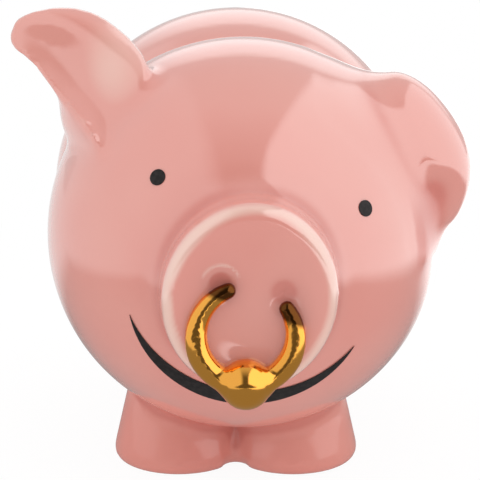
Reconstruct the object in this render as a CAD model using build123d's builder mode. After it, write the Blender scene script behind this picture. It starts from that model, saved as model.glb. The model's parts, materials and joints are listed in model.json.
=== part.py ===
from build123d import *
import math
import os

# A round ceramic pig money bank, in millimetres. It stands on the XY plane and
# looks along -Y, so +X is the pig's own left side. Its castings are luted
# together face to face, and a rubber stopper closes the hole in the belly.

# Head and body: two round hollow castings, cut at the neck where they meet
head_radius = 60
body_radius = 59.5
neck_overlap = 61.5
head_shift = 2.3
belly_clearance = 16
wall = 5
head_roll = 9.2
head_yaw = 2.0

# Snout: an oval boss with a rounded rim, a dished face and two nostrils
snout_stand_out = 9.5
snout_half_width = 25.2
snout_half_height = 27.9
snout_seat_radius = 28.6
snout_drop = 1.9
snout_flare = 3.0
rim_round = 3.6
rim_bands = 4
dish_depth = 2.4
dish_half_width = 20.8
nostril_spacing = 17.6
nostril_rise = 1.5
nostril_radius = 4.6
nostril_depth = 2.3

# Nose ring: moulded on the snout's face, thicker towards the ball
ring_radius = 14.0
ring_drop = 11.3
ring_end_radius = 1.5
ring_middle_radius = 2.5
ring_ball_side_radius = 3.2
ring_left_end_angle = 40
ring_right_end_angle = 105
ring_stand_off = 0.9
ring_shift = 0.5
ring_tip = 7.5
ring_sides = 12
ball_radius = 6.9
ball_stand_off = 2.2

# Painted face: eyes and smile, a thin fired coat on the head
paint_coat = 0.3
eye_radius = 2.4
eye_spacing = 60.4
eye_rise = 24.0
smile_half_width = 33.2
smile_corner_drop = 17.3
smile_top_drop = 35.4
smile_bottom_drop = 40.5
smile_shift = 1.0

# Legs: four tapered legs luted on under the castings' hips, where the taper goes on, and the
# two of a pair meet on the middle plane
leg_foot_radius = 20.6
leg_hip_radius = 10.7
leg_hip_rise = 32.0
leg_seat_drop = 1.0
leg_spacing = 35.8
foot_round = 4.0
foot_bands = 3
front_leg_neck_gap = 3.4
rear_leg_setback = 30.0

# Stopper: a rubber bung with a flange in a flat seat under the belly
stopper_neck_gap = 1.0
stopper_hole_radius = 14.0
stopper_flange_radius = 16.5
stopper_seat_radius = 17.0
stopper_flange_thickness = 2.4
stopper_length = 8.0
stopper_wall = 2.6
stopper_clearance = 0.06
stopper_boss_radius = 19.5
stopper_boss_inset = 3.0

# Coin slot: cut straight down through the upper back
slot_length = 34.0
slot_width = 5.0
slot_lean = 25

# Tail: one open curl that rises from the rump
tail_radius = 2.2
tail_sides = 12
tail_curl_radius = 5.6
tail_curl_angle = 300
tail_rise = 6.0
tail_stand_off = 1.2
tail_lean = 14

# Ears: luted on the head, the right one raised and the left one flopped over
pocket_radius = 10.0

# One overrun for every cut that has to leave the piece
overrun = 2.0

# Places that follow from the sizes above
neck_distance = head_radius + body_radius - neck_overlap
centre_height = belly_clearance + max(head_radius, body_radius)
snout_reach = head_radius + snout_stand_out
leg_seat_height = belly_clearance - leg_seat_drop
leg_hip_height = belly_clearance + leg_hip_rise
ring_ball_reach = snout_reach + ball_stand_off + ball_radius
tail_reach = tail_stand_off + tail_radius
pig_length = ring_ball_reach + neck_distance + body_radius + tail_reach
head_y = ring_ball_reach - pig_length / 2
head_x = head_shift / 2
body_x = -head_shift / 2
head_centre = Vector(head_x, head_y, centre_height)
body_centre = Vector(body_x, head_y + neck_distance, centre_height)

# The neck plane holds the circle in which the two outer spheres cross
spine = body_centre - head_centre
spine_length = spine.length
spine_way = spine.normalized()
neck_from_head = (spine_length**2 + head_radius**2 - body_radius**2) / (2 * spine_length)
neck_from_body = spine_length - neck_from_head
head_spine_plane = Plane(origin=head_centre, z_dir=spine_way)
body_spine_plane = Plane(origin=body_centre, z_dir=spine_way)
neck_plane = head_spine_plane.offset(neck_from_head)

# The face's own frame: looks along its local -Y, rolled and turned on the body
face_plane = Plane(origin=head_centre).rotated((0, head_roll, head_yaw))


def face_point(x, forward, z):
    """A point of the face: across, in front of the head's centre, and up."""
    return face_plane.from_local_coords(Vector(x, -forward, z))


# Hollow: one chamber through both castings, in flat bands like a knife-trimmed wall
hollow_sides = 20
end_bands = 4
neck_bands = 2
hollow_end_angle = 74
head_hollow_radius = head_radius - wall
body_hollow_radius = body_radius - wall
head_neck_angle = math.degrees(math.asin(neck_from_head / head_hollow_radius))
body_neck_angle = math.degrees(math.asin(neck_from_body / body_hollow_radius))


def dome(radius, end_angle, bands):
    """One end of the hollow: flat bands from the widest ring up to end_angle."""
    with BuildPart() as shape:
        for step in range(bands):
            low = math.radians(end_angle * step / bands)
            high = math.radians(end_angle * (step + 1) / bands)
            rise = radius * (math.sin(high) - math.sin(low))
            narrowing = radius * (math.cos(low) - math.cos(high)) * math.cos(math.pi / hollow_sides)
            with BuildSketch(Plane.XY.offset(radius * math.sin(low))):
                RegularPolygon(radius * math.cos(low), hollow_sides)
            extrude(amount=rise, taper=math.degrees(math.atan(narrowing / rise)))
    return shape.part


with BuildPart() as hollow:
    with Locations(Plane(origin=head_centre, x_dir=(0, 0, 1), z_dir=spine_way * -1)):
        add(dome(head_hollow_radius, hollow_end_angle, end_bands))
    with Locations(Plane(origin=head_centre, x_dir=(0, 0, 1), z_dir=spine_way)):
        add(dome(head_hollow_radius, head_neck_angle, neck_bands))
    with Locations(Plane(origin=body_centre, x_dir=(0, 0, 1), z_dir=spine_way * -1)):
        add(dome(body_hollow_radius, body_neck_angle, neck_bands))
    with Locations(Plane(origin=body_centre, x_dir=(0, 0, 1), z_dir=spine_way)):
        add(dome(body_hollow_radius, hollow_end_angle, end_bands))

# Snout seat: the head is cut flat where the snout is luted on
snout_seat_forward = math.sqrt(head_radius**2 - snout_seat_radius**2)
snout_seat_plane = Plane(
    origin=face_point(0, snout_seat_forward, 0),
    x_dir=face_plane.x_dir,
    z_dir=face_plane.y_dir * -1,
)


# Leg taper: from the foot's widest circle to the hip, deep inside the casting
leg_taper = (leg_foot_radius - leg_hip_radius) / (leg_hip_height - foot_round)
leg_seat_radius = leg_foot_radius - leg_taper * (leg_seat_height - foot_round)
front_leg_y = head_centre.Y + neck_from_head - leg_seat_radius - front_leg_neck_gap
rear_leg_y = body_centre.Y + rear_leg_setback


def leg_plane(side, leg_y):
    """The upright plane through a leg's axis, with its origin on the floor."""
    return Plane(origin=(body_x + side * leg_spacing / 2, leg_y, 0), x_dir=(1, 0, 0), z_dir=(0, -1, 0))


def hip(side, leg_y):
    """The upper end of a leg, moulded on the casting down to the leg's flat seat."""
    place = leg_plane(side, leg_y)
    with BuildPart() as shape:
        with BuildSketch(place):
            with BuildLine():
                Polyline(
                    (0, leg_seat_height),
                    (leg_seat_radius, leg_seat_height),
                    (leg_hip_radius, leg_hip_height),
                    (0, leg_hip_height),
                    close=True,
                )
            make_face()
        revolve(axis=Axis(place.origin, (0, 0, 1)))
    return shape.part


with BuildPart() as head_shell:
    with Locations(head_spine_plane):
        Sphere(head_radius)
    split(bisect_by=neck_plane, keep=Keep.BOTTOM)
    split(bisect_by=snout_seat_plane, keep=Keep.BOTTOM)
    for side in (1, -1):
        add(hip(side, front_leg_y))
    add(hollow.part, mode=Mode.SUBTRACT)

# Body: the boss thickens the wall round the stopper's hole
stopper_advance = neck_from_body - stopper_boss_radius - stopper_neck_gap
stopper_lean = math.degrees(math.asin(stopper_advance / body_radius))
stopper_plane = Plane(origin=body_centre).rotated((-stopper_lean, 0, 0))
stopper_seat_depth = math.sqrt(body_radius**2 - stopper_seat_radius**2)
stopper_boss_depth = body_hollow_radius - stopper_boss_inset
slot_y = body_centre.Y + body_radius * math.sin(math.radians(slot_lean))

with BuildPart() as body_shell:
    with Locations(body_spine_plane):
        Sphere(body_radius)
    split(bisect_by=neck_plane, keep=Keep.TOP)
    for side in (1, -1):
        add(hip(side, rear_leg_y))
    add(hollow.part, mode=Mode.SUBTRACT)
    with BuildSketch(stopper_plane.offset(-stopper_seat_depth)):
        Circle(stopper_boss_radius)
    extrude(amount=stopper_seat_depth - stopper_boss_depth)
    with BuildSketch(stopper_plane.offset(-stopper_seat_depth)):
        Circle(stopper_seat_radius)
    extrude(amount=-body_radius, mode=Mode.SUBTRACT)
    with BuildSketch(stopper_plane.offset(-body_radius)):
        Circle(stopper_hole_radius)
    extrude(amount=body_radius - stopper_boss_depth + overrun, mode=Mode.SUBTRACT)
    with BuildSketch(Plane.XY.offset(centre_height)):
        with Locations((body_x, slot_y)):
            SlotOverall(slot_length, slot_width)
    extrude(amount=body_radius, mode=Mode.SUBTRACT)

# Snout: flares from its round seat to the oval boss, and its rim is rounded in narrow bands
rim_start = snout_reach - snout_seat_forward - rim_round


def rim_section(share):
    """The snout's oval at a share of the quarter turn round its rim: height and inset."""
    turn = share * math.pi / 2
    return rim_start + rim_round * math.sin(turn), rim_round * (1 - math.cos(turn))


with BuildPart() as snout:
    with BuildSketch(snout_seat_plane):
        Circle(snout_seat_radius)
    with BuildSketch(snout_seat_plane.offset(snout_flare)):
        with Locations((0, -snout_drop)):
            Ellipse(snout_half_width, snout_half_height)
    loft()
    with BuildSketch(snout_seat_plane.offset(snout_flare)):
        with Locations((0, -snout_drop)):
            Ellipse(snout_half_width, snout_half_height)
    extrude(amount=rim_start - snout_flare)
    for band in range(rim_bands):
        for share in (band / rim_bands, (band + 1) / rim_bands):
            rise, inset = rim_section(share)
            with BuildSketch(snout_seat_plane.offset(rise)):
                with Locations((0, -snout_drop)):
                    Ellipse(snout_half_width - inset, snout_half_height - inset)
        loft(ruled=True)
    dish_radius = (dish_half_width**2 + dish_depth**2) / (2 * dish_depth)
    with Locations(face_point(0, snout_reach - dish_depth + dish_radius, -snout_drop)):
        Sphere(dish_radius, mode=Mode.SUBTRACT)
    nostril_ball = (nostril_radius**2 + nostril_depth**2) / (2 * nostril_depth)
    nostril_floor = dish_depth * (1 - (nostril_spacing / 2 / dish_half_width)**2) + nostril_depth
    for side in (-1, 1):
        nostril_forward = snout_reach - nostril_floor + nostril_ball
        with Locations(face_point(side * nostril_spacing / 2, nostril_forward, nostril_rise)):
            Sphere(nostril_ball, mode=Mode.SUBTRACT)

# Nose ring: two tapered arms and a ball, tipped so that the ball hangs in front of the rim
ring_plane = Plane(
    origin=face_point(ring_shift, snout_reach + ring_stand_off, -ring_drop - snout_drop),
    x_dir=(math.cos(math.radians(head_yaw)), math.sin(math.radians(head_yaw)), 0),
    z_dir=face_plane.y_dir * -1,
).rotated((-ring_tip, 0, 0))


def ring_arm(end_angle):
    """One arm of the ring, from under the ball to its thin end on the snout."""
    with BuildLine(ring_plane) as arm:
        CenterArc((0, 0), ring_radius, -90, end_angle + 90)
    route = arm.wire()
    with BuildPart() as shape:
        for share, tube in ((0, ring_ball_side_radius), (0.5, ring_middle_radius), (1, ring_end_radius)):
            spot, way = route.position_at(share), route.tangent_at(share)
            with BuildSketch(Plane(spot, x_dir=ring_plane.z_dir, z_dir=way)):
                RegularPolygon(tube, ring_sides)
        sweep(path=route, multisection=True)
    return shape.part


ring_arms = [ring_arm(ring_left_end_angle), ring_arm(ring_right_end_angle - 360)]

with BuildPart() as nose_ring:
    add(ring_arms)
    with Locations(Plane(ring_plane.from_local_coords(Vector(0, -ring_radius, 0)), z_dir=ring_plane.x_dir)):
        Sphere(ball_radius)
    add(snout.part, mode=Mode.SUBTRACT)
    with Locations(head_centre):
        Sphere(head_radius, mode=Mode.SUBTRACT)

# Painted eyes and smile: a thin coat on the head's own sphere
eye_forward = math.sqrt(head_radius**2 - (eye_spacing / 2)**2 - eye_rise**2)


def painted_eye(side):
    """A round dot of paint square to the head's surface."""
    spot = face_point(side * eye_spacing / 2, eye_forward, eye_rise)
    with BuildPart() as dot:
        with BuildSketch(Plane(origin=head_centre, z_dir=spot - head_centre)):
            Circle(eye_radius)
        extrude(amount=head_radius + overrun)
        with Locations(head_centre):
            Sphere(head_radius + paint_coat, mode=Mode.INTERSECT)
            Sphere(head_radius, mode=Mode.SUBTRACT)
    return dot.part


with BuildPart() as left_eye:
    add(painted_eye(1))

with BuildPart() as right_eye:
    add(painted_eye(-1))

with BuildPart() as smile:
    with BuildSketch(Plane(origin=head_centre, x_dir=face_plane.x_dir, z_dir=face_plane.y_dir * -1)):
        with BuildLine():
            left_corner = (smile_shift - smile_half_width, -smile_corner_drop)
            right_corner = (smile_shift + smile_half_width, -smile_corner_drop)
            ThreePointArc(left_corner, (smile_shift, -smile_top_drop), right_corner)
            ThreePointArc(right_corner, (smile_shift, -smile_bottom_drop), left_corner)
        make_face()
    extrude(amount=head_radius + overrun)
    with Locations(head_centre):
        Sphere(head_radius + paint_coat, mode=Mode.INTERSECT)
        Sphere(head_radius, mode=Mode.SUBTRACT)


# Ears: each ring is given by its two lips and the ridge of its back, as shares of the head's
# radius in the face's frame: across, backwards and up. A ring of the raised ear also has a valley
# near its outer lip and a lobe near its inner one, given as deep and as high in those shares
raised_ear_shares = (
    ((-0.69, -0.38, 0.30), (-0.51, -0.19, 0.70), (-0.88, 0.13, 0.26), 0.03, 0.02),
    ((-0.76, -0.53, 0.40), (-0.59, -0.25, 0.78), (-0.95, 0.07, 0.39), 0.06, 0.05),
    ((-0.91, -0.39, 0.56), (-0.67, -0.13, 0.89), (-1.02, -0.08, 0.54), 0.07, 0.07),
    ((-1.08, -0.23, 0.67), (-0.84, -0.06, 0.99), (-1.07, -0.03, 0.74), 0.06, 0.05),
    ((-1.22, -0.13, 0.76), (-1.05, -0.04, 1.02), (-1.15, 0.02, 0.87), 0.03, 0.02),
    ((-1.285, -0.09, 0.785), (-1.22, -0.04, 0.97), (-1.26, 0.02, 0.87), 0.01, 0.00),
    ((-1.323, -0.06, 0.833), (-1.296, -0.04, 0.92), (-1.305, 0.02, 0.875), 0.003, 0.0),
)
lip_share = 0.065
valley_place_share = 0.45
lobe_place_share = 0.3
flopped_ear_shares = (
    ((0.37, -0.15, 0.88), (0.39, 0.15, 0.88), (0.37, 0.00, 0.91)),
    ((0.46, -0.25, 0.84), (0.54, 0.22, 0.80), (0.59, -0.03, 0.94)),
    ((0.58, -0.41, 0.69), (0.70, 0.22, 0.67), (0.84, -0.08, 0.87)),
    ((0.67, -0.45, 0.57), (0.80, 0.18, 0.56), (1.04, -0.14, 0.65)),
    ((0.77, -0.42, 0.46), (0.90, 0.08, 0.42), (1.08, -0.19, 0.49)),
    ((0.88, -0.31, 0.33), (0.94, -0.02, 0.31), (1.05, -0.24, 0.34)),
    ((0.93, -0.28, 0.20), (0.94, -0.16, 0.20), (0.96, -0.22, 0.20)),
)
pocket_shares = (0.90, -0.46, 0.375)


def ear_point(shares):
    """A point of an ear from its shares of the head's radius."""
    return face_point(shares[0] * head_radius, -shares[1] * head_radius, shares[2] * head_radius)


def ear_plane(left, right, back):
    """The plane of an ear's ring: X from lip to lip, Y towards the ridge of its back."""
    across = right - left
    return Plane(origin=(left + right) / 2, x_dir=across, z_dir=across.cross(back - left))


with BuildPart() as raised_ear:
    for left_shares, right_shares, back_shares, valley_share, lobe_share in raised_ear_shares:
        left, right, back = ear_point(left_shares), ear_point(right_shares), ear_point(back_shares)
        ring_place = ear_plane(left, right, back)
        ridge = ring_place.to_local_coords(back)
        half = (right - left).length / 2
        lip = lip_share * head_radius
        valley = (-half * valley_place_share, valley_share * head_radius)
        lobe = (half * lobe_place_share, -lobe_share * head_radius)
        with BuildSketch(ring_place):
            with BuildLine():
                Spline((-half, 0), valley, lobe, (half, 0))
                Line((half, 0), (half, lip))
                Spline((half, lip), (ridge.X, ridge.Y), (-half, lip))
                Line((-half, lip), (-half, 0))
            make_face()
    loft()
    with Locations(head_centre):
        Sphere(head_radius, mode=Mode.SUBTRACT)

with BuildPart() as flopped_ear:
    for left_shares, right_shares, back_shares in flopped_ear_shares:
        left, right, back = ear_point(left_shares), ear_point(right_shares), ear_point(back_shares)
        ring_place = ear_plane(left, right, back)
        ridge = ring_place.to_local_coords(back)
        half = (right - left).length / 2
        with BuildSketch(ring_place):
            with BuildLine():
                Line((-half, 0), (half, 0))
                ThreePointArc((half, 0), (0, ridge.Y), (-half, 0))
            make_face()
    loft()
    with Locations(ear_point(pocket_shares)):
        Sphere(pocket_radius, mode=Mode.SUBTRACT)
    with Locations(head_centre):
        Sphere(head_radius, mode=Mode.SUBTRACT)


def foot_point(share):
    """A point of the foot's rounded edge at a share of the quarter turn from its sole."""
    turn = share * math.pi / 2
    return leg_foot_radius - foot_round * (1 - math.sin(turn)), foot_round * (1 - math.cos(turn))


def leg(side, leg_y):
    """A leg from its seat to its foot, cut flat where it meets its twin on the middle plane."""
    place = leg_plane(side, leg_y)
    with BuildPart() as shape:
        with BuildSketch(place):
            with BuildLine():
                Polyline(
                    (0, 0),
                    *[foot_point(band / foot_bands) for band in range(foot_bands + 1)],
                    (leg_seat_radius, leg_seat_height),
                    (0, leg_seat_height),
                    close=True,
                )
            make_face()
        revolve(axis=Axis(place.origin, (0, 0, 1)))
        split(bisect_by=Plane(origin=(body_x, 0, 0), z_dir=(side, 0, 0)), keep=Keep.TOP)
    return shape.part


with BuildPart() as front_left_leg:
    add(leg(1, front_leg_y))

with BuildPart() as front_right_leg:
    add(leg(-1, front_leg_y))

with BuildPart() as rear_left_leg:
    add(leg(1, rear_leg_y))

with BuildPart() as rear_right_leg:
    add(leg(-1, rear_leg_y))

# Tail: the curl's plane leans, so that its root sinks towards the rump and its tip stands off
rump_angle = math.asin(tail_rise / body_radius)
rump_way = Vector(0, math.cos(rump_angle), math.sin(rump_angle))
tail_plane = Plane(
    origin=body_centre + rump_way * (body_radius + tail_stand_off),
    x_dir=(-1, 0, 0),
    z_dir=rump_way,
).rotated((0, tail_lean, 0))

with BuildPart() as tail:
    with BuildLine(tail_plane) as curl:
        CenterArc((0, 0), tail_curl_radius, 0, tail_curl_angle)
    tail_route = curl.wire()
    with BuildSketch(Plane(tail_route.position_at(0), z_dir=tail_route.tangent_at(0))):
        RegularPolygon(tail_radius, tail_sides)
    sweep(path=tail_route)
    with Locations(tail_route.position_at(1)):
        Sphere(tail_radius)
    with Locations(body_centre):
        Sphere(body_radius, mode=Mode.SUBTRACT)

# Stopper: its flange lies in the seat and its bung fills the hole
with BuildPart() as stopper:
    with BuildSketch(stopper_plane.offset(-stopper_seat_depth)):
        Circle(stopper_flange_radius)
    extrude(amount=-stopper_flange_thickness)
    rim = stopper.faces().sort_by(Axis(body_centre, stopper_plane.z_dir))[0].edges()
    chamfer(rim, stopper_flange_thickness / 2)
    with BuildSketch(stopper_plane.offset(-stopper_seat_depth)):
        Circle(stopper_hole_radius - stopper_clearance)
    extrude(amount=stopper_length)
    with BuildSketch(stopper_plane.offset(stopper_length - stopper_seat_depth)):
        Circle(stopper_hole_radius - stopper_clearance - stopper_wall)
    extrude(amount=-stopper_length, mode=Mode.SUBTRACT)

os.makedirs("parts", exist_ok=True)

head_shell.part.label = "head_shell"
export_step(head_shell.part, "parts/head_shell.step")

body_shell.part.label = "body_shell"
export_step(body_shell.part, "parts/body_shell.step")

snout.part.label = "snout"
export_step(snout.part, "parts/snout.step")

raised_ear.part.label = "raised_ear"
export_step(raised_ear.part, "parts/raised_ear.step")

flopped_ear.part.label = "flopped_ear"
export_step(flopped_ear.part, "parts/flopped_ear.step")

nose_ring.part.label = "nose_ring"
export_step(nose_ring.part, "parts/nose_ring.step")

left_eye.part.label = "left_eye"
export_step(left_eye.part, "parts/left_eye.step")

right_eye.part.label = "right_eye"
export_step(right_eye.part, "parts/right_eye.step")

smile.part.label = "smile"
export_step(smile.part, "parts/smile.step")

front_left_leg.part.label = "front_left_leg"
export_step(front_left_leg.part, "parts/front_left_leg.step")

front_right_leg.part.label = "front_right_leg"
export_step(front_right_leg.part, "parts/front_right_leg.step")

rear_left_leg.part.label = "rear_left_leg"
export_step(rear_left_leg.part, "parts/rear_left_leg.step")

rear_right_leg.part.label = "rear_right_leg"
export_step(rear_right_leg.part, "parts/rear_right_leg.step")

tail.part.label = "tail"
export_step(tail.part, "parts/tail.step")

stopper.part.label = "stopper"
export_step(stopper.part, "parts/stopper.step")
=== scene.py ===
"""A glazed ceramic pig money bank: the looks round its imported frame."""

import json
import math

import bpy
import numpy as np
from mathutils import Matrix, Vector

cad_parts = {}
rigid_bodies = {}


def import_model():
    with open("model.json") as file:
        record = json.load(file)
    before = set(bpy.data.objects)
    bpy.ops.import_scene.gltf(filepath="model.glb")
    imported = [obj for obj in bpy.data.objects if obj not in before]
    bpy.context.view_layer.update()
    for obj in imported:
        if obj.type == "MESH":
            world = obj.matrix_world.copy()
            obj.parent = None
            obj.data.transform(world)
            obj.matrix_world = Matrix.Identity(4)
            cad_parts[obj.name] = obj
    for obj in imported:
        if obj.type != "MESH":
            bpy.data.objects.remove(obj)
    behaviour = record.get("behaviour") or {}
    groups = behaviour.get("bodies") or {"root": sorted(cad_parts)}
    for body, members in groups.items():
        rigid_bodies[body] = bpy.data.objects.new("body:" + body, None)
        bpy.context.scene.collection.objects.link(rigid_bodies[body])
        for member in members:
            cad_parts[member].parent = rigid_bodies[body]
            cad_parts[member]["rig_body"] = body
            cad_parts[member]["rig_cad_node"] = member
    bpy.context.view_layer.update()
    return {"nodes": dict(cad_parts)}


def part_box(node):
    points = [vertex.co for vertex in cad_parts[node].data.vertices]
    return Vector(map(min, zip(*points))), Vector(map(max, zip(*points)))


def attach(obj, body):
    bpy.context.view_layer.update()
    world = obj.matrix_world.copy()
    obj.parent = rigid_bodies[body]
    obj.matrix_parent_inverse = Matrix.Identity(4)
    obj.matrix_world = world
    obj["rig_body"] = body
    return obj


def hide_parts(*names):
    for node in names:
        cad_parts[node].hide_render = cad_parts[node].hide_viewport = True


bl_info = {
    "name": "Ceramic pig bank",
    "version": (1, 0, 0),
    "blender": (4, 5, 0),
    "location": "View3D > Sidebar > Pig bank",
    "description": "Glazed skin, gold ring, painted face, stopper and studio for a ceramic pig money bank",
    "category": "Add Mesh",
}

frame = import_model()

EAR_NODES = ("raised_ear", "flopped_ear")
LEG_NODES = ("front_left_leg", "front_right_leg", "rear_left_leg", "rear_right_leg")
HEAD_NODES = ("head_shell", "snout", *EAR_NODES)
BODY_NODES = ("body_shell", *LEG_NODES, "tail")
PAINTED_NODES = ("left_eye", "right_eye", "smile")
CERAMIC_BODY = "pig"

# The head shell's hindmost point lies on the neck plane, where the two castings part
head_points = [point.co for point in frame["nodes"]["head_shell"].data.vertices]
neck_point = max(head_points, key=lambda place: place.y).copy()
# The middle of the head lies this far before that plane
NECK_FROM_HEAD = 0.0294


# Settings


class PigSkinSettings(bpy.types.PropertyGroup):
    """Sizes of the glazed skin and of the nose ring"""

    voxel: bpy.props.FloatProperty(
        name="Skin grid",
        description="Grid size of the remeshed skin",
        default=0.00105,
        unit="LENGTH",
    )
    even_rounds: bpy.props.IntProperty(
        name="Even rounds",
        description="Rounds of smoothing over the whole skin",
        default=8,
    )
    ring_voxel: bpy.props.FloatProperty(
        name="Ring grid",
        description="Grid size of the remeshed nose ring",
        default=0.00032,
        unit="LENGTH",
    )
    ring_fine_voxel: bpy.props.FloatProperty(
        name="Ring fine grid",
        description="Grid size of the finished nose ring",
        default=0.00023,
        unit="LENGTH",
    )
    ring_swell: bpy.props.FloatProperty(
        name="Ring swell",
        description="How far the ring's arms stand proud of the casting",
        default=0.0010,
        unit="LENGTH",
    )
    ring_ball_share: bpy.props.FloatProperty(
        name="Ring ball",
        description="Share of the ring's height over which the swell fades in, from the ball upwards",
        default=0.4,
    )
    ring_lift: bpy.props.FloatProperty(
        name="Ring lift",
        description="How far the ring sits above its casting's own place",
        default=0.0012,
        unit="LENGTH",
    )
    saddle_rounds: bpy.props.IntProperty(
        name="Saddle rounds",
        description="Rounds of smoothing where the arms run into the ball",
        default=240,
    )
    saddle_swell: bpy.props.FloatProperty(
        name="Saddle swell",
        description="How much the saddles are filled",
        default=0.0011,
        unit="LENGTH",
    )
    saddle_reach: bpy.props.IntProperty(
        name="Saddle reach",
        description="How many grid steps the saddle smoothing spreads",
        default=12,
    )


class PigFinishSettings(bpy.types.PropertyGroup):
    """Colours of the glaze, the lustre, the paint and the rubber"""

    glaze: bpy.props.FloatVectorProperty(
        name="Glaze",
        description="Pink of the glaze on open curves",
        subtype="COLOR",
        default=(0.74, 0.285, 0.236),
    )
    # Edges: thin glaze and painted highlight
    thin_glaze_and_highlight: bpy.props.FloatVectorProperty(
        name="Thin glaze and highlight",
        description="Paler pink on edges",
        subtype="COLOR",
        default=(0.84, 0.56, 0.475),
    )
    # Creases: pooled glaze and painted shade
    pooled_glaze_and_shade: bpy.props.FloatVectorProperty(
        name="Pooled glaze and shade",
        description="Deeper pink in creases",
        subtype="COLOR",
        default=(0.62, 0.195, 0.16),
    )
    bisque: bpy.props.FloatVectorProperty(
        name="Bisque",
        description="Bare fired clay on the soles",
        subtype="COLOR",
        default=(0.80, 0.74, 0.66),
    )
    gold: bpy.props.FloatVectorProperty(
        name="Gold",
        description="Fired gold lustre on the nose ring",
        subtype="COLOR",
        default=(1.0, 0.47, 0.085),
    )
    # A painted dark reflection on the ring's ends
    dark_reflection_gold: bpy.props.FloatVectorProperty(
        name="Dark reflection gold",
        description="The ring's dark ends",
        subtype="COLOR",
        default=(0.14, 0.05, 0.012),
    )
    enamel: bpy.props.FloatVectorProperty(
        name="Enamel",
        description="Near black paint of the eyes and mouth",
        subtype="COLOR",
        default=(0.013, 0.011, 0.011),
    )
    rubber: bpy.props.FloatVectorProperty(
        name="Rubber",
        description="Grey rubber of the stopper",
        subtype="COLOR",
        default=(0.48, 0.46, 0.43),
    )


class PigStageSettings(bpy.types.PropertyGroup):
    """Camera, room and floor"""

    camera_distance: bpy.props.FloatProperty(
        name="Camera distance",
        description="From the middle of the head",
        default=0.75,
        unit="LENGTH",
    )
    camera_elevation: bpy.props.FloatProperty(
        name="Camera elevation",
        description="Angle above the level of the head's middle",
        default=math.radians(14.5),
        subtype="ANGLE",
    )
    lens: bpy.props.FloatProperty(
        name="Lens",
        description="In millimetres on a 36 mm sensor",
        default=182.25,
    )
    room_level: bpy.props.FloatProperty(
        name="Room level",
        description="Even light from all sides",
        default=0.80,
    )
    right_panel: bpy.props.FloatProperty(
        name="Right panel",
        description="Its brightness in reflections",
        default=1.55,
    )
    left_panel: bpy.props.FloatProperty(
        name="Left panel",
        description="Its brightness in reflections",
        default=0.85,
    )
    ceiling: bpy.props.FloatProperty(
        name="Ceiling",
        description="Its brightness in reflections",
        default=0.65,
    )
    rear_panel: bpy.props.FloatProperty(
        name="Rear panel",
        description="Its brightness in reflections",
        default=1.35,
    )
    front_floor: bpy.props.FloatProperty(
        name="Front floor",
        description="Its brightness in reflections",
        default=0.32,
    )
    camera_side: bpy.props.FloatProperty(
        name="Camera side",
        description="Brightness of the dark side behind the camera, in reflections",
        default=0.12,
    )
    floor_glow: bpy.props.FloatProperty(
        name="Floor glow",
        description="Light that the floor gives off under the pig",
        default=0.25,
    )
    shadow_share: bpy.props.FloatProperty(
        name="Shadow share",
        description="How much of its own shading the floor shows the camera",
        default=0.08,
    )


# Modelling steps

# Every smoothing round moves a point half way to the mean of its neighbours
SMOOTH_FACTOR = 0.5
# Doubles closer than this are merged before a copy is remeshed
DOUBLES_DISTANCE = 0.000002
# The weights of a vertex group are rounded to this many steps
WEIGHT_STEPS = 50
# The box round a node reaches this far past it
NODE_MARGIN = 0.006
# What a mark keeps of its neighbours' strength as it spreads
SPREAD_HOLD = 0.97


def activate(piece):
    """Select one piece alone and make it the active one."""
    bpy.ops.object.select_all(action="DESELECT")
    piece.select_set(True)
    bpy.context.view_layer.objects.active = piece


def apply_modifier(piece, kind, **values):
    """Add a modifier with its values and apply it."""
    activate(piece)
    modifier = piece.modifiers.new(kind.lower(), kind)
    for name, value in values.items():
        setattr(modifier, name, value)
    bpy.ops.object.modifier_apply(modifier=modifier.name)


def remesh(piece, grid):
    """Cover a piece with one closed skin of even faces."""
    apply_modifier(piece, "REMESH", mode="VOXEL", voxel_size=grid, use_smooth_shade=True)


def smooth(piece, rounds, group=""):
    """Smooth a piece, or one of its vertex groups."""
    apply_modifier(piece, "SMOOTH", factor=SMOOTH_FACTOR, iterations=rounds, vertex_group=group)


def swell(piece, distance, group):
    """Push a vertex group outwards."""
    apply_modifier(piece, "DISPLACE", strength=distance, mid_level=0.0, vertex_group=group)


def merged_copy(nodes, title):
    """One closed copy of some frame nodes, under a name of its own."""
    copies = []
    for node in nodes:
        copy = frame["nodes"][node].copy()
        copy.data = copy.data.copy()
        copy.parent = None
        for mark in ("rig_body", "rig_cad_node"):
            if mark in copy:
                del copy[mark]
        bpy.context.scene.collection.objects.link(copy)
        copies.append(copy)
    activate(copies[0])
    for copy in copies:
        copy.select_set(True)
    if len(copies) > 1:
        bpy.ops.object.join()
    whole = bpy.context.view_layer.objects.active
    whole.name = title
    whole.data.name = title
    whole.data.materials.clear()
    bpy.ops.object.mode_set(mode="EDIT")
    bpy.ops.mesh.select_all(action="SELECT")
    bpy.ops.mesh.remove_doubles(threshold=DOUBLES_DISTANCE)
    bpy.ops.object.mode_set(mode="OBJECT")
    return whole


def mesh_points(mesh):
    """The points of a mesh, one row each."""
    points = np.empty(len(mesh.vertices) * 3)
    mesh.vertices.foreach_get("co", points)
    return points.reshape(-1, 3)


def neighbour_mean(mesh, values):
    """For each point of a mesh, the mean of a value over the points that it shares an edge with."""
    ends = np.empty(len(mesh.edges) * 2, np.int64)
    mesh.edges.foreach_get("vertices", ends)
    near = np.concatenate((ends[0::2], ends[1::2]))
    far = np.concatenate((ends[1::2], ends[0::2]))
    size = len(mesh.vertices)
    counts = np.maximum(np.bincount(near, minlength=size), 1)
    columns = values.reshape(size, -1).T
    means = [np.bincount(near, weights=column[far], minlength=size) / counts for column in columns]
    return np.stack(means, axis=1).reshape(values.shape)


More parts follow.
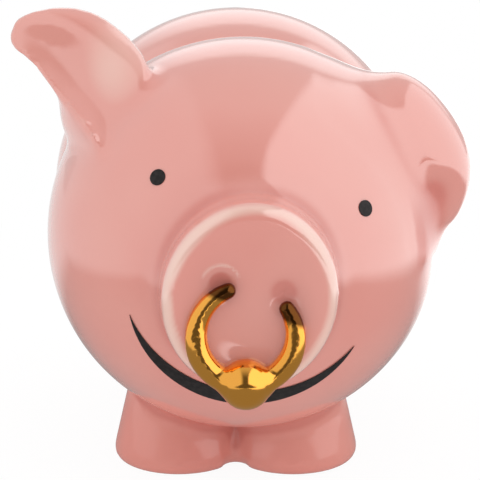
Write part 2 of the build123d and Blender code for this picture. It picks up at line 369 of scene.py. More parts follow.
def bend(mesh, rounds):
    """How much the surface bulges out (plus) or folds in (minus) at each point, evened out."""
    points = mesh_points(mesh)
    normals = np.empty(len(mesh.vertices) * 3)
    mesh.vertex_normals.foreach_get("vector", normals)
    value = ((points - neighbour_mean(mesh, points)) * normals.reshape(-1, 3)).sum(axis=1)
    for step in range(rounds):
        value = neighbour_mean(mesh, value)
    return value


def near_nodes(mesh, nodes):
    """One for each point in the box of any of some nodes, with a margin, and zero elsewhere."""
    points = mesh_points(mesh)
    inside = np.zeros(len(points), bool)
    for node in nodes:
        low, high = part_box(node)
        past_low = points > np.array(low) - NODE_MARGIN
        before_high = points < np.array(high) + NODE_MARGIN
        inside |= (past_low & before_high).all(axis=1)
    return inside.astype(float)


def spread(mesh, marks, steps, gain):
    """Let marks between zero and one grow outwards, about one grid step at a time."""
    for step in range(steps):
        marks = np.maximum(marks, SPREAD_HOLD * neighbour_mean(mesh, marks))
        marks = np.clip(gain * marks, 0, 1)
    return marks


def weight_group(piece, title, weights):
    """Give a piece a vertex group from one weight for each point, in even steps."""
    group = piece.vertex_groups.new(name=title)
    steps = np.round(np.clip(weights, 0, 1) * WEIGHT_STEPS).astype(int)
    for step in range(1, WEIGHT_STEPS + 1):
        group.add(np.flatnonzero(steps == step).tolist(), step / WEIGHT_STEPS, "REPLACE")


def write_attribute(mesh, title, values):
    """Keep one number for each point of a mesh, for its material to read."""
    attribute = mesh.attributes.new(title, "FLOAT", "POINT")
    attribute.data.foreach_set("value", values.astype(np.float32))


def casting_sphere(node):
    """The middle of a casting's sphere, with y left at zero, and its radius, from the node's box."""
    low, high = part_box(node)
    radius = (high.x - low.x) / 2
    return Vector(((low.x + high.x) / 2, 0, high.z - radius)), radius


def head_sphere():
    """The middle of the head's sphere and its radius."""
    middle, radius = casting_sphere("head_shell")
    middle.y = neck_point.y - NECK_FROM_HEAD
    return middle, radius


def spine_way():
    """The level way from the head's middle to the body's, with the neck plane taken as half way."""
    head = casting_sphere("head_shell")[0]
    body, body_radius = casting_sphere("body_shell")
    body_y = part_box("body_shell")[1].y - body_radius
    return Vector((body.x - head.x, 2 * (body_y - neck_point.y), 0)).normalized()


# Finishes

# Noise blends from none to all between these values
NOISE_RANGE = (0.3, 0.7)
# Each noise of the uneven surface: its name, its scale in waves to the metre and its detail
UNEVEN_NOISES = (("Slow", 25.0, 2.0), ("Fine", 900.0, 3.0))

# Heights over which the soles turn from bare clay to glaze, and the edges above the feet turn pale, thin
# glaze with painted highlight that fades out over the shaded feet
SOLE_HEIGHTS = (0.0003, 0.0007)
FOOT_HEIGHTS = (0.010, 0.030)
# Between these heights the glaze turns from satin, with this share of the gloss, to full gloss
LEG_HEIGHTS = (0.014, 0.045)
FOOT_GLOSS = 0.25
# The tones between which the glaze turns pale, thin glaze with painted highlight, deep, pooled glaze with
# painted shade, and dull in folds
PALE_EDGE_TONES = (0.34, 0.58)
DEEP_CREASE_TONES = (0.02, -0.50)
FOLD_TONES = (-0.45, -0.05)
FOLD_GLOSS = 0.35
# How far the glaze's tint drifts towards thin glaze, and how rough the bare soles and the glaze are
GLAZE_DRIFT = 0.10
SOLE_ROUGHNESS = 0.8
GLAZE_ROUGHNESS = 0.24
# How much of each channel the gold keeps where it is laid thick, how far that goes, and its haze
DEEP_GOLD_SHARES = (0.86, 0.74, 0.55)
GOLD_DRIFT = 0.25
GOLD_ROUGHNESS = (0.07, 0.14)
# How much paler the enamel's worn specks are
ENAMEL_WEAR = 1.9
ENAMEL_ROUGHNESS = (0.30, 0.38)
# Dust on the rubber: what it keeps of the rubber's colour, the grey it adds and how far it goes
DUST_KEEPS = 0.7
DUST_GREY = 0.2
DUST_SHARE = 0.5
RUBBER_ROUGHNESS = (0.60, 0.78)

# Places of a Mix node's colour sockets, whose names are shared by its other kinds of socket
MIX_COLOURS = (6, 7)
MIX_RESULT = 2


class Wiring:
    """The nodes of a material or world, with short ways to add and link them."""

    def __init__(self, tree):
        self.nodes = tree.nodes
        self.links = tree.links

    def plug(self, value, socket):
        """Link a socket, or give it a colour or a number."""
        if isinstance(value, bpy.types.NodeSocket):
            self.links.new(value, socket)
        elif socket.type == "RGBA":
            socket.default_value = (*value, 1.0)
        else:
            socket.default_value = value

    def combine(self, operation, *values):
        """One operation over several sockets and numbers, from the first to the last."""
        result = values[0]
        for value in values[1:]:
            step = self.nodes.new("ShaderNodeMath")
            step.operation = operation
            self.plug(result, step.inputs[0])
            self.plug(value, step.inputs[1])
            result = step.outputs["Value"]
        return result

    def ranged(self, source, low, high, to_low=0.0, to_high=1.0):
        """A smooth step of a value between two bounds."""
        step = self.nodes.new("ShaderNodeMapRange")
        step.interpolation_type = "SMOOTHSTEP"
        step.inputs["From Min"].default_value = low
        step.inputs["From Max"].default_value = high
        step.inputs["To Min"].default_value = to_low
        step.inputs["To Max"].default_value = to_high
        self.links.new(source, step.inputs["Value"])
        return step.outputs["Result"]

    def mixed(self, share, first, second):
        """A mix of two colours, each a colour or a socket."""
        mix = self.nodes.new("ShaderNodeMix")
        mix.data_type = "RGBA"
        self.links.new(share, mix.inputs[0])
        self.plug(first, mix.inputs[MIX_COLOURS[0]])
        self.plug(second, mix.inputs[MIX_COLOURS[1]])
        return mix.outputs[MIX_RESULT]

    def parts(self, vector):
        """The x, y and z of a vector."""
        split = self.nodes.new("ShaderNodeSeparateXYZ")
        self.links.new(vector, split.inputs["Vector"])
        return split.outputs["X"], split.outputs["Y"], split.outputs["Z"]

    def attribute(self, title):
        """The number that the piece keeps for each point."""
        reader = self.nodes.new("ShaderNodeAttribute")
        reader.attribute_name = title
        return reader.outputs["Fac"]


class Finish(Wiring):
    """A new material with its Principled shader and an uneven surface on Object coordinates."""

    def __init__(self, title):
        self.material = bpy.data.materials.new(title)
        self.material.use_nodes = True
        super().__init__(self.material.node_tree)
        self.shader = self.nodes["Principled BSDF"]
        self.place = self.nodes.new("ShaderNodeTexCoord").outputs["Object"]
        self.uneven = self.nodes.new("ShaderNodeGroup")
        self.uneven.node_tree = uneven_group()
        self.links.new(self.place, self.uneven.inputs["Vector"])

    def give(self, name, value):
        """Set or link one of the shader's sockets."""
        self.plug(value, self.shader.inputs[name])

    def drift(self, noise, to_low, to_high):
        """The slow or the fine noise, blended between two values."""
        return self.ranged(self.uneven.outputs[noise], *NOISE_RANGE, to_low, to_high)

    def roughen(self, strength, distance):
        """Give the surface fine bumps."""
        bump = self.nodes.new("ShaderNodeBump")
        bump.inputs["Strength"].default_value = strength
        bump.inputs["Distance"].default_value = distance
        self.links.new(self.uneven.outputs["Fine"], bump.inputs["Height"])
        self.give("Normal", bump.outputs["Normal"])


def uneven_group():
    """The slow and fine unevenness of a fired or moulded surface, as a node group."""
    if "uneven_surface" in bpy.data.node_groups:
        return bpy.data.node_groups["uneven_surface"]
    group = bpy.data.node_groups.new("uneven_surface", "ShaderNodeTree")
    sockets = group.interface
    sockets.new_socket(name="Vector", in_out="INPUT", socket_type="NodeSocketVector")
    for name, scale, detail in UNEVEN_NOISES:
        socket = sockets.new_socket(name=name + " scale", in_out="INPUT", socket_type="NodeSocketFloat")
        socket.default_value = scale
        sockets.new_socket(name=name, in_out="OUTPUT", socket_type="NodeSocketFloat")
    given = group.nodes.new("NodeGroupInput")
    made = group.nodes.new("NodeGroupOutput")
    for name, scale, detail in UNEVEN_NOISES:
        noise = group.nodes.new("ShaderNodeTexNoise")
        noise.inputs["Detail"].default_value = detail
        group.links.new(given.outputs["Vector"], noise.inputs["Vector"])
        group.links.new(given.outputs[name + " scale"], noise.inputs["Scale"])
        group.links.new(noise.outputs["Fac"], made.inputs[name])
    return group


def glaze_material(settings):
    """Pink glaze: pale on edges, thin glaze with painted highlight; deep in creases, pooled glaze with
    painted shade; bare on the soles.
    """
    finish = Finish("pink_glaze")
    tone = finish.attribute("glaze_and_light_tone")
    height = finish.parts(finish.place)[2]
    # Deeper in creases: pooled glaze and painted shade
    colour = finish.mixed(finish.ranged(tone, *DEEP_CREASE_TONES), settings.glaze, settings.pooled_glaze_and_shade)
    # The painted highlight on the pale edges fades out towards the feet, which lie in shade
    lit_above_feet = finish.ranged(height, *FOOT_HEIGHTS)
    thin = finish.combine("MULTIPLY", finish.ranged(tone, *PALE_EDGE_TONES), lit_above_feet)
    colour = finish.mixed(thin, colour, settings.thin_glaze_and_highlight)
    colour = finish.mixed(finish.drift("Slow", 0.0, GLAZE_DRIFT), colour, settings.thin_glaze_and_highlight)
    glazed = finish.ranged(height, *SOLE_HEIGHTS)
    finish.give("Base Color", finish.mixed(glazed, settings.bisque, colour))
    finish.give("Roughness", finish.ranged(height, *SOLE_HEIGHTS, SOLE_ROUGHNESS, GLAZE_ROUGHNESS))
    legs = finish.ranged(height, *LEG_HEIGHTS, FOOT_GLOSS, 1.0)
    in_folds = finish.ranged(tone, *FOLD_TONES, FOLD_GLOSS, 1.0)
    finish.give("Coat Weight", finish.combine("MULTIPLY", glazed, legs, in_folds))
    finish.give("Specular IOR Level", 0.3)
    finish.give("Coat Roughness", 0.045)
    finish.give("Coat IOR", 2.0)
    finish.roughen(strength=0.05, distance=0.0004)
    return finish.material


def gold_material(settings):
    """Fired gold lustre: bright metal with a little haze, with a painted dark reflection on the ring's
    ends.
    """
    finish = Finish("gold_lustre")
    deep = [share * value for share, value in zip(DEEP_GOLD_SHARES, settings.gold)]
    colour = finish.mixed(finish.drift("Slow", 0.0, GOLD_DRIFT), settings.gold, deep)
    # The ring's ends get a painted dark reflection
    finish.give("Base Color", finish.mixed(finish.attribute("dark_reflection_share"), colour, settings.dark_reflection_gold))
    finish.give("Metallic", 1.0)
    finish.give("Roughness", finish.drift("Slow", *GOLD_ROUGHNESS))
    finish.roughen(strength=0.01, distance=0.0001)
    return finish.material


def enamel_material(settings):
    """Near black paint, fired on, a little less glossy than the glaze."""
    finish = Finish("black_enamel")
    worn = [ENAMEL_WEAR * value for value in settings.enamel]
    finish.give("Base Color", finish.mixed(finish.drift("Fine", 0.0, 1.0), settings.enamel, worn))
    finish.give("Roughness", finish.drift("Slow", *ENAMEL_ROUGHNESS))
    finish.give("Specular IOR Level", 0.18)
    finish.roughen(strength=0.1, distance=0.0002)
    return finish.material


def rubber_material(settings):
    """Moulded grey rubber with a dusty, matt skin."""
    finish = Finish("stopper_rubber")
    dusty = [DUST_KEEPS * value + DUST_GREY for value in settings.rubber]
    finish.give("Base Color", finish.mixed(finish.drift("Slow", 0.0, DUST_SHARE), settings.rubber, dusty))
    finish.give("Roughness", finish.drift("Fine", *RUBBER_ROUGHNESS))
    finish.roughen(strength=0.3, distance=0.0003)
    return finish.material


# Glazed skin

# Near each node, the rounds of even smoothing and the swell that makes up for what they take away
SOFT_FORMS = (
    ("flopped_ear", 140, 0.0009),
    ("raised_ear", 12, 0.0001),
    ("snout", 20, 0.0001),
)
# How many grid steps the soft edge of those forms spreads
FORM_EDGE_STEPS = 6

# Near some nodes, how many grid steps the crease smoothing spreads and how many rounds it has
SOFT_CREASES = (
    (("flopped_ear",), 12, 150),
    (("snout",), 7, 60),
    (("raised_ear",), 5, 50),
    (LEG_NODES, 9, 120),
    (("head_shell", "body_shell"), 2, 12),
)
# A full crease bends by this share of the grid size, and its mark grows by this gain as it spreads
CREASE_BEND_ROUNDS = 1
CREASE_BEND = 0.045
CREASE_GAIN = 1.6

# The glaze pools in folds of the first shapes, with painted shade there: how far they are evened out,
# where they start and are full
FOLD_ROUNDS = 14
FOLD_START = 0.000006
FOLD_FULL = 0.000025
FOLD_TONE = 0.4
# It runs thin on edges of the smoothed shapes, with painted highlight there, and folds don't count where
# an edge passes the last
EDGE_ROUNDS = 2
EDGE_FULL = 0.00008
EDGE_TONE = 0.85
EDGE_ALONE = 0.15
# What folds lose on the raised ear, from this far off the head, and what edges lose on both ears
EAR_FOLD_LOSS = 0.7
EAR_FOLD_REACH = 0.008
EAR_EDGE_LOSS = 0.5
# Soft spots on the ears, a painted highlight on the raised ear's inner lobe and painted shade under the
# flopped ear's flap: node, middle in x and z, radii and tone
EAR_LIGHT_SPOTS = (
    ("raised_ear", (-0.038, 0.130), (0.018, 0.023), 0.47),
    ("flopped_ear", (0.0555, 0.0835), (0.0075, 0.0125), -0.44),
)
EAR_TONE_ROUNDS = 4

# The painted highlight, a pale arc over one nostril: its place from the snout's middle, radius, width,
# depth and tone
NOSTRIL_PLACE = (-0.0080, 0.0036)
NOSTRIL_RADIUS = 0.0051
ARC_WIDTH = 0.0019
ARC_DEPTH = 0.0051
ARC_HIGHLIGHT_TONE = 0.50
# How strong the arc is at the nostril's own height
ARC_LEVEL = 0.6


class PIGBANK_OT_skin(bpy.types.Operator):
    """Melt the castings into one glazed skin and part it again at the neck"""

    bl_idname = "pigbank.skin"
    bl_label = "Glazed skin"

    def execute(self, context):
        settings = context.scene.pig_skin
        material = glaze_material(context.scene.pig_finish)
        whole = merged_copy(HEAD_NODES + BODY_NODES, "whole_skin")
        remesh(whole, settings.voxel)
        smooth(whole, settings.even_rounds)
        folds = self.first_folds(whole.data)
        self.soften_forms(whole)
        self.soften_creases(whole, settings)
        write_attribute(whole.data, "glaze_and_light_tone", self.glaze_and_light_tone(whole.data, folds))
        for title, nodes, away in (("head_skin", HEAD_NODES, 1), ("body_skin", BODY_NODES, -1)):
            part = self.part_at_neck(whole, title, away)
            part.data.materials.append(material)
            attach(part, CERAMIC_BODY)
            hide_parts(*nodes)
        bpy.data.objects.remove(whole)
        return {"FINISHED"}

    def first_folds(self, mesh):
        """How deep each point lies in a fold, down to minus one, and less so out on the raised ear."""
        folds = np.clip((bend(mesh, FOLD_ROUNDS) + FOLD_START) / FOLD_FULL, -1, 0)
        middle, radius = head_sphere()
        outward = np.linalg.norm(mesh_points(mesh) - np.array(middle), axis=1) - radius
        on_ear = np.clip(outward / EAR_FOLD_REACH, 0, 1) * near_nodes(mesh, ("raised_ear",))
        return folds * (1 - EAR_FOLD_LOSS * on_ear)

    def soften_forms(self, whole):
        """Even out the ears and the snout, with a soft edge to the castings round them."""
        for node, rounds, distance in SOFT_FORMS:
            inside = near_nodes(whole.data, (node,))
            for step in range(FORM_EDGE_STEPS):
                inside = neighbour_mean(whole.data, inside)
            weight_group(whole, "forms", inside)
            smooth(whole, rounds, "forms")
            swell(whole, distance, "forms")
            whole.vertex_groups.clear()

    def soften_creases(self, whole, settings):
        """Fill the creases between forms with soft fillets, and leave the open curves alone."""
        for nodes, steps, rounds in SOFT_CREASES:
            inward = -bend(whole.data, CREASE_BEND_ROUNDS)
            creases = np.clip(inward / (CREASE_BEND * settings.voxel), 0, 1)
            creases *= near_nodes(whole.data, nodes)
            weight_group(whole, "creases", spread(whole.data, creases, steps, CREASE_GAIN))
            smooth(whole, rounds, "creases")
            whole.vertex_groups.clear()

    def glaze_and_light_tone(self, mesh, folds):
        """How pale (plus) or deep (minus) the glaze is at each point: thin glaze with painted highlight,
        pooled glaze with painted shade.
        """
        points = mesh_points(mesh)
        on_ears = near_nodes(mesh, EAR_NODES)
        edges = np.clip(bend(mesh, EDGE_ROUNDS) / EDGE_FULL, -1, 1)
        edges *= 1 - EAR_EDGE_LOSS * on_ears * (edges > 0)
        # Pale on edges: thin glaze and painted highlight; deep in folds: pooled glaze and painted shade
        tone = edges * EDGE_TONE + folds * FOLD_TONE * (edges < EDGE_ALONE)
        # A painted highlight over one nostril
        tone += self.painted_nostril_highlight(points)
        # Painted highlight on the raised ear and painted shade under the flopped one
        for node, middle, radii, spot_tone in EAR_LIGHT_SPOTS:
            away = np.hypot((points[:, 0] - middle[0]) / radii[0], (points[:, 2] - middle[1]) / radii[1])
            tone += (spot_tone - tone) * np.exp(-(away**2)) * near_nodes(mesh, (node,))
        for step in range(EAR_TONE_ROUNDS):
            tone += (neighbour_mean(mesh, tone) - tone) * on_ears
        return tone

    def painted_nostril_highlight(self, points):
        """The painted highlight, a pale arc over one nostril, as tone."""
        low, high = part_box("snout")
        middle = np.array(((low.x + high.x) / 2, (low.z + high.z) / 2)) + NOSTRIL_PLACE
        offset = points[:, (0, 2)] - middle
        from_arc = np.hypot(offset[:, 0], offset[:, 1]) - NOSTRIL_RADIUS
        band = np.exp(-((from_arc / ARC_WIDTH) ** 2))
        upper = np.clip(ARC_LEVEL + offset[:, 1] / NOSTRIL_RADIUS, 0, 1)
        return ARC_HIGHLIGHT_TONE * band * upper * (points[:, 1] < low.y + ARC_DEPTH)

    def part_at_neck(self, whole, title, away):
        """A copy of the skin on one side of the neck plane, with the whole skin's shading."""
        part = whole.copy()
        part.data = whole.data.copy()
        part.name = title
        part.data.name = title
        bpy.context.scene.collection.objects.link(part)
        activate(part)
        bpy.ops.object.mode_set(mode="EDIT")
        bpy.ops.mesh.select_all(action="SELECT")
        bpy.ops.mesh.bisect(
            plane_co=neck_point,
            plane_no=spine_way(),
            use_fill=True,
            clear_outer=away > 0,
            clear_inner=away < 0,
        )
        bpy.ops.object.mode_set(mode="OBJECT")
        apply_modifier(
            part,
            "DATA_TRANSFER",
            object=whole,
            use_loop_data=True,
            data_types_loops={"CUSTOM_NORMAL"},
            loop_mapping="POLYINTERP_NEAREST",
        )
        return part


# Nose ring

# Rounds of smoothing after the first grid, after the swell and after the fine grid
RING_FIRST_ROUNDS = 10
RING_SWELL_ROUNDS = 50
RING_LAST_ROUNDS = 8
# A full saddle bends by this share of the grid size, and its mark grows by this gain as it spreads
SADDLE_BEND_ROUNDS = 2
SADDLE_BEND = 0.012
SADDLE_GAIN = 1.5
# The saddles end at this share of the ring's height, and fade over this much below it
SADDLE_TOP = 0.58
SADDLE_FADE = 0.1
# The ends' painted dark reflection: the slope of the line through both, their length and the soft edge of
# the dark
ENDS_SLOPE = 0.35
ENDS_LENGTH = 0.0064
ENDS_FADE = 0.0014


class PIGBANK_OT_ring(bpy.types.Operator):
    """Round off the nose ring and finish it in gold lustre"""

    bl_idname = "pigbank.ring"
    bl_label = "Gold nose ring"

    def execute(self, context):
        settings = context.scene.pig_skin
        ring = merged_copy(("nose_ring",), "gold_ring")
        remesh(ring, settings.ring_voxel)
        smooth(ring, RING_FIRST_ROUNDS)
        self.fill_out(ring, settings)
        smooth(ring, RING_SWELL_ROUNDS)
        self.fill_saddles(ring, settings)
        remesh(ring, settings.ring_fine_voxel)
        smooth(ring, RING_LAST_ROUNDS)
        self.mark_ends(ring.data)
        ring.data.materials.append(gold_material(context.scene.pig_finish))
        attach(ring, CERAMIC_BODY)
        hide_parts("nose_ring")
        return {"FINISHED"}

    def height_share(self, mesh):
        """How high each point lies in the casting's box, as a share of its height."""
        low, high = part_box("nose_ring")
        return (mesh_points(mesh)[:, 2] - low.z) / (high.z - low.z)

    def fill_out(self, ring, settings):
        """Swell the arms, less so towards the ball, and lift the ring to its place."""
        weight_group(ring, "arms", self.height_share(ring.data) / settings.ring_ball_share)
        swell(ring, settings.ring_swell, "arms")
        ring.vertex_groups.clear()
        activate(ring)
        bpy.ops.transform.translate(value=(0, 0, settings.ring_lift))
        bpy.ops.object.transform_apply(location=True)

    def fill_saddles(self, ring, settings):
        """Fill and smooth the saddles where the arms run into the ball."""
        inward = -bend(ring.data, SADDLE_BEND_ROUNDS)
        saddles = np.clip(inward / (SADDLE_BEND * settings.ring_voxel), 0, 1)
        saddles = spread(ring.data, saddles, settings.saddle_reach, SADDLE_GAIN)
        saddles *= np.clip((SADDLE_TOP - self.height_share(ring.data)) / SADDLE_FADE, 0, 1)
        weight_group(ring, "saddles", saddles)
        swell(ring, settings.saddle_swell, "saddles")
        smooth(ring, settings.saddle_rounds, "saddles")
        ring.vertex_groups.clear()

    def mark_ends(self, mesh):
        """Write how near each point is to the two ends, which lie on a slanting line, for their painted
        dark reflection.
        """
        points = mesh_points(mesh)
        height = points[:, 2] + ENDS_SLOPE * points[:, 0]
        dark = np.clip((height - height.max() + ENDS_LENGTH) / ENDS_FADE, 0, 1)
        write_attribute(mesh, "dark_reflection_share", dark)


# Painted face and stopper


def refinish(node, material):
    """Give a CAD node a new material and leave its mesh alone."""
    slots = frame["nodes"][node].data.materials
    slots.clear()
    slots.append(material)


class PIGBANK_OT_face(bpy.types.Operator):
    """Finish the painted eyes and mouth in black enamel"""

    bl_idname = "pigbank.face"
    bl_label = "Painted face"

    def execute(self, context):
        material = enamel_material(context.scene.pig_finish)
        for node in PAINTED_NODES:
            refinish(node, material)
        return {"FINISHED"}


class PIGBANK_OT_stopper(bpy.types.Operator):
    """Finish the belly stopper in moulded rubber"""

    bl_idname = "pigbank.stopper"
    bl_label = "Belly stopper"

    def execute(self, context):
        refinish("stopper", rubber_material(context.scene.pig_finish))
        return {"FINISHED"}


# Studio

# Soft edges of what shiny surfaces see, as shares of a direction: x to the right, y to the rear, z up
PANEL_FOOT = (-0.09, 0.06)
PANEL_BACK = (0.84, 0.66)
SLANT_EDGE = (-0.13, 0.02)
RIGHT_EDGE = (0.12, 0.25)
LEFT_EDGE = (-0.08, -0.42)
CEILING_EDGE = (-0.95, 0.10)
REAR_EDGE = (0.66, 0.82)
REAR_FOOT = (0.02, 0.25)
# The panels' foot drops by these shares of the way to the side and to the rear
FOOT_DROP = (0.36, 0.42)
# The right panel's slanting edge leans by these shares of the way to the rear and up
PANEL_SLANT = (-0.236, -0.394)
# The rear panel dims towards the left, down to a share of its brightness
REAR_SIDE = (-0.55, -0.10)
REAR_LEFT_SHARE = 0.5
# The floor in reflections turns bright this far to the sides of the pig and behind it
FLOOR_SIDE = (0.17, 0.35)
FLOOR_BACK = (0.0, 0.16)
# The right side's brightness and the left side's meet over the middle of the floor
FLOOR_MIDDLE = (-0.03, 0.03)

# The floor is a disc in two mottled greys, and its shading fades for the camera over this reach
FLOOR_RADIUS = 3.0
FLOOR_CORNERS = 96
FLOOR_GREYS = (0.84, 0.88)
SHADOW_REACH = (0.08, 0.30)
WHITE = (1.0, 1.0, 1.0)

# Each lamp: degrees from the pig's front, degrees above the floor, distance, size and radiance
SOFTBOXES = (
    ("right_softbox", 40, 48, 1.1, (0.95, 1.05), 0.70),
    ("left_softbox", -62, 40, 1.2, (1.3, 1.0), 0.35),
    ("top_softbox", 180, 72, 0.9, (1.2, 0.6), 0.45),
)

# The photograph's width in pixels, and how many its middle lies right of and above the head's
PHOTO_WIDTH = 480
PHOTO_SHIFT = (-3, -10)
SENSOR_WIDTH = 36


def aim(thing, target):
    """Turn a lamp or camera to look at a point."""
    thing.rotation_euler = (target - thing.location).to_track_quat("-Z", "Y").to_euler()


def softbox(title, target, azimuth, elevation, distance, size, radiance):
    """A large rectangular lamp at an angle from the pig's front, as bright as its radiance."""
    lamp = bpy.data.lights.new(title, "AREA")
    lamp.shape = "RECTANGLE"
    lamp.size, lamp.size_y = size
    lamp.energy = radiance * math.pi * size[0] * size[1]
    box = bpy.data.objects.new(title, lamp)
    bpy.context.scene.collection.objects.link(box)
    box.visible_glossy = False
    azimuth = math.radians(azimuth)
    elevation = math.radians(elevation)
    level = math.cos(elevation)
    way = Vector((math.sin(azimuth) * level, -math.cos(azimuth) * level, math.sin(elevation)))
    box.location = target + way * distance
    aim(box, target)


def room_in_reflections(wiring, way, settings):
    """What shiny surfaces see: a dark camera side, two long panels, a rear panel and a dim ceiling."""
    x, y, z = wiring.parts(way)
    aside = wiring.nodes.new("ShaderNodeMath")
    aside.operation = "ABSOLUTE"
    wiring.links.new(x, aside.inputs[0])
    spread_out = wiring.combine("MULTIPLY", aside.outputs["Value"], FOOT_DROP[0])
    set_back = wiring.combine("MULTIPLY", y, FOOT_DROP[1])
    above = wiring.ranged(wiring.combine("ADD", z, spread_out, set_back), *PANEL_FOOT)
    before_rear = wiring.ranged(y, *PANEL_BACK)
    slant_back = wiring.combine("MULTIPLY", y, PANEL_SLANT[0])
    slant_up = wiring.combine("MULTIPLY", z, PANEL_SLANT[1])
    slant = wiring.ranged(wiring.combine("ADD", x, slant_back, slant_up), *SLANT_EDGE)
    on_right = wiring.combine("MULTIPLY", wiring.ranged(x, *RIGHT_EDGE), slant)
    on_left = wiring.ranged(x, *LEFT_EDGE)
    right = wiring.combine("MULTIPLY", on_right, above, before_rear, settings.right_panel)
    left = wiring.combine("MULTIPLY", on_left, above, before_rear, settings.left_panel)
    ceiling = wiring.combine("MULTIPLY", wiring.ranged(y, *CEILING_EDGE), above, settings.ceiling)
    behind = wiring.combine("MULTIPLY", wiring.ranged(y, *REAR_EDGE), wiring.ranged(z, *REAR_FOOT))
    rear_share = wiring.ranged(x, *REAR_SIDE, REAR_LEFT_SHARE, 1.0)
    rear = wiring.combine("MULTIPLY", behind, rear_share, settings.rear_panel)
    return wiring.combine("MAXIMUM", right, left, ceiling, rear, settings.camera_side)


def studio_world(settings):
    """White for the camera, an even room for soft light, and panels for reflections."""
    world = bpy.data.worlds.new("studio")
    world.use_nodes = True
    bpy.context.scene.world = world
    wiring = Wiring(world.node_tree)
    way = wiring.nodes.new("ShaderNodeTexCoord").outputs["Generated"]
    rays = wiring.nodes.new("ShaderNodeLightPath").outputs
    room = [settings.room_level] * 3
    colour = wiring.mixed(rays["Is Glossy Ray"], room, room_in_reflections(wiring, way, settings))
    colour = wiring.mixed(rays["Is Camera Ray"], colour, WHITE)
    colour = wiring.mixed(rays["Is Transmission Ray"], colour, WHITE)
    wiring.links.new(colour, wiring.nodes["Background"].inputs["Color"])


def floor_in_reflections(finish, settings):
    """What shiny surfaces see of the floor: dim near the pig, as bright as the panels further out."""
    x, y = finish.parts(finish.place)[:2]
    behind = finish.ranged(y, *FLOOR_BACK)
    sides = []
    for away, brightness in ((1, settings.right_panel), (-1, settings.left_panel)):
        beside = finish.ranged(x, away * FLOOR_SIDE[0], away * FLOOR_SIDE[1])
        half = finish.ranged(x, away * FLOOR_MIDDLE[0], away * FLOOR_MIDDLE[1])
        outside = finish.combine("MAXIMUM", beside, behind)
        sides.append(finish.combine("MULTIPLY", outside, half, brightness))
    return finish.combine("MAXIMUM", *sides, settings.front_floor)


def floor_material(settings):
    """A pale, faintly lit floor: white for the camera away from the pig, dim near it in reflections."""
    finish = Finish("pale_floor")
    greys = [[grey] * 3 for grey in FLOOR_GREYS]
    finish.give("Base Color", finish.mixed(finish.uneven.outputs["Slow"], *greys))
    finish.give("Roughness", 0.6)
    finish.give("Specular IOR Level", 0.0)
    finish.give("Emission Color", WHITE)
    finish.give("Emission Strength", settings.floor_glow)
    reach = finish.nodes.new("ShaderNodeVectorMath")
    reach.operation = "LENGTH"
    finish.links.new(finish.place, reach.inputs[0])
    rays = finish.nodes.new("ShaderNodeLightPath").outputs
    white = finish.ranged(reach.outputs["Value"], *SHADOW_REACH, 1.0 - settings.shadow_share, 1.0)
    surface = finish.shader.outputs["BSDF"]
    for share, strength in (
        (rays["Is Glossy Ray"], floor_in_reflections(finish, settings)),
        (finish.combine("MULTIPLY", white, rays["Is Camera Ray"]), 1.0),
    ):
        glow = finish.nodes.new("ShaderNodeEmission")
        finish.plug(strength, glow.inputs["Strength"])
        mix = finish.nodes.new("ShaderNodeMixShader")
        finish.links.new(share, mix.inputs["Fac"])
        finish.links.new(surface, mix.inputs[1])
        finish.links.new(glow.outputs["Emission"], mix.inputs[2])
        surface = mix.outputs["Shader"]
    finish.links.new(surface, finish.nodes["Material Output"].inputs["Surface"])
    return finish.material


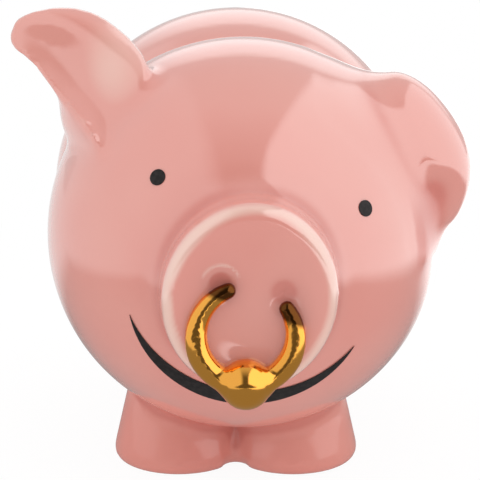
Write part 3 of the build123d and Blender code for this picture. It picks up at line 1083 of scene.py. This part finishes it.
class PIGBANK_OT_stage(bpy.types.Operator):
    """Set up the floor, the lamps, the white room and the camera"""

    bl_idname = "pigbank.stage"
    bl_label = "Studio"

    def execute(self, context):
        settings = context.scene.pig_stage
        bpy.ops.object.select_all(action="DESELECT")
        bpy.ops.mesh.primitive_circle_add(
            vertices=FLOOR_CORNERS, radius=FLOOR_RADIUS, fill_type="NGON", location=(0, 0, 0)
        )
        floor = context.object
        floor.name = "floor"
        floor.data.materials.append(floor_material(settings))
        studio_world(settings)
        head = head_sphere()[0]
        for title, *place in SOFTBOXES:
            softbox(title, head, *place)
        self.set_camera(context, head, settings)
        context.scene.view_settings.view_transform = "Standard"
        return {"FINISHED"}

    def set_camera(self, context, head, settings):
        """Look at the head from the photograph's angle, with the photograph's framing."""
        camera = bpy.data.objects.new("camera", bpy.data.cameras.new("camera"))
        context.scene.collection.objects.link(camera)
        tilt = settings.camera_elevation
        camera.location = head + Vector((0, -math.cos(tilt), math.sin(tilt))) * settings.camera_distance
        aim(camera, head)
        camera.data.lens = settings.lens
        camera.data.sensor_width = SENSOR_WIDTH
        camera.data.shift_x = PHOTO_SHIFT[0] / PHOTO_WIDTH
        camera.data.shift_y = PHOTO_SHIFT[1] / PHOTO_WIDTH
        context.scene.camera = camera


class PIGBANK_PT_panel(bpy.types.Panel):
    """The steps of the pig bank, in order"""

    bl_idname = "PIGBANK_PT_panel"
    bl_label = "Pig bank"
    bl_space_type = "VIEW_3D"
    bl_region_type = "UI"
    bl_category = "Pig bank"

    def draw(self, context):
        for step in STEPS:
            self.layout.operator(step.bl_idname)


STEPS = (PIGBANK_OT_skin, PIGBANK_OT_ring, PIGBANK_OT_face, PIGBANK_OT_stopper, PIGBANK_OT_stage)
SETTINGS = (
    ("pig_skin", PigSkinSettings),
    ("pig_finish", PigFinishSettings),
    ("pig_stage", PigStageSettings),
)


def register():
    """Register the settings, the steps and the panel."""
    for name, group in SETTINGS:
        bpy.utils.register_class(group)
        setattr(bpy.types.Scene, name, bpy.props.PointerProperty(type=group))
    for step in (*STEPS, PIGBANK_PT_panel):
        bpy.utils.register_class(step)


def unregister():
    """Take the panel, the steps and the settings out again."""
    for step in (PIGBANK_PT_panel, *reversed(STEPS)):
        bpy.utils.unregister_class(step)
    for name, group in reversed(SETTINGS):
        delattr(bpy.types.Scene, name)
        bpy.utils.unregister_class(group)


def main():
    """Build every piece and the studio."""
    register()
    bpy.ops.pigbank.skin()
    bpy.ops.pigbank.ring()
    bpy.ops.pigbank.face()
    bpy.ops.pigbank.stopper()
    bpy.ops.pigbank.stage()


if __name__ == "__main__":
    main()
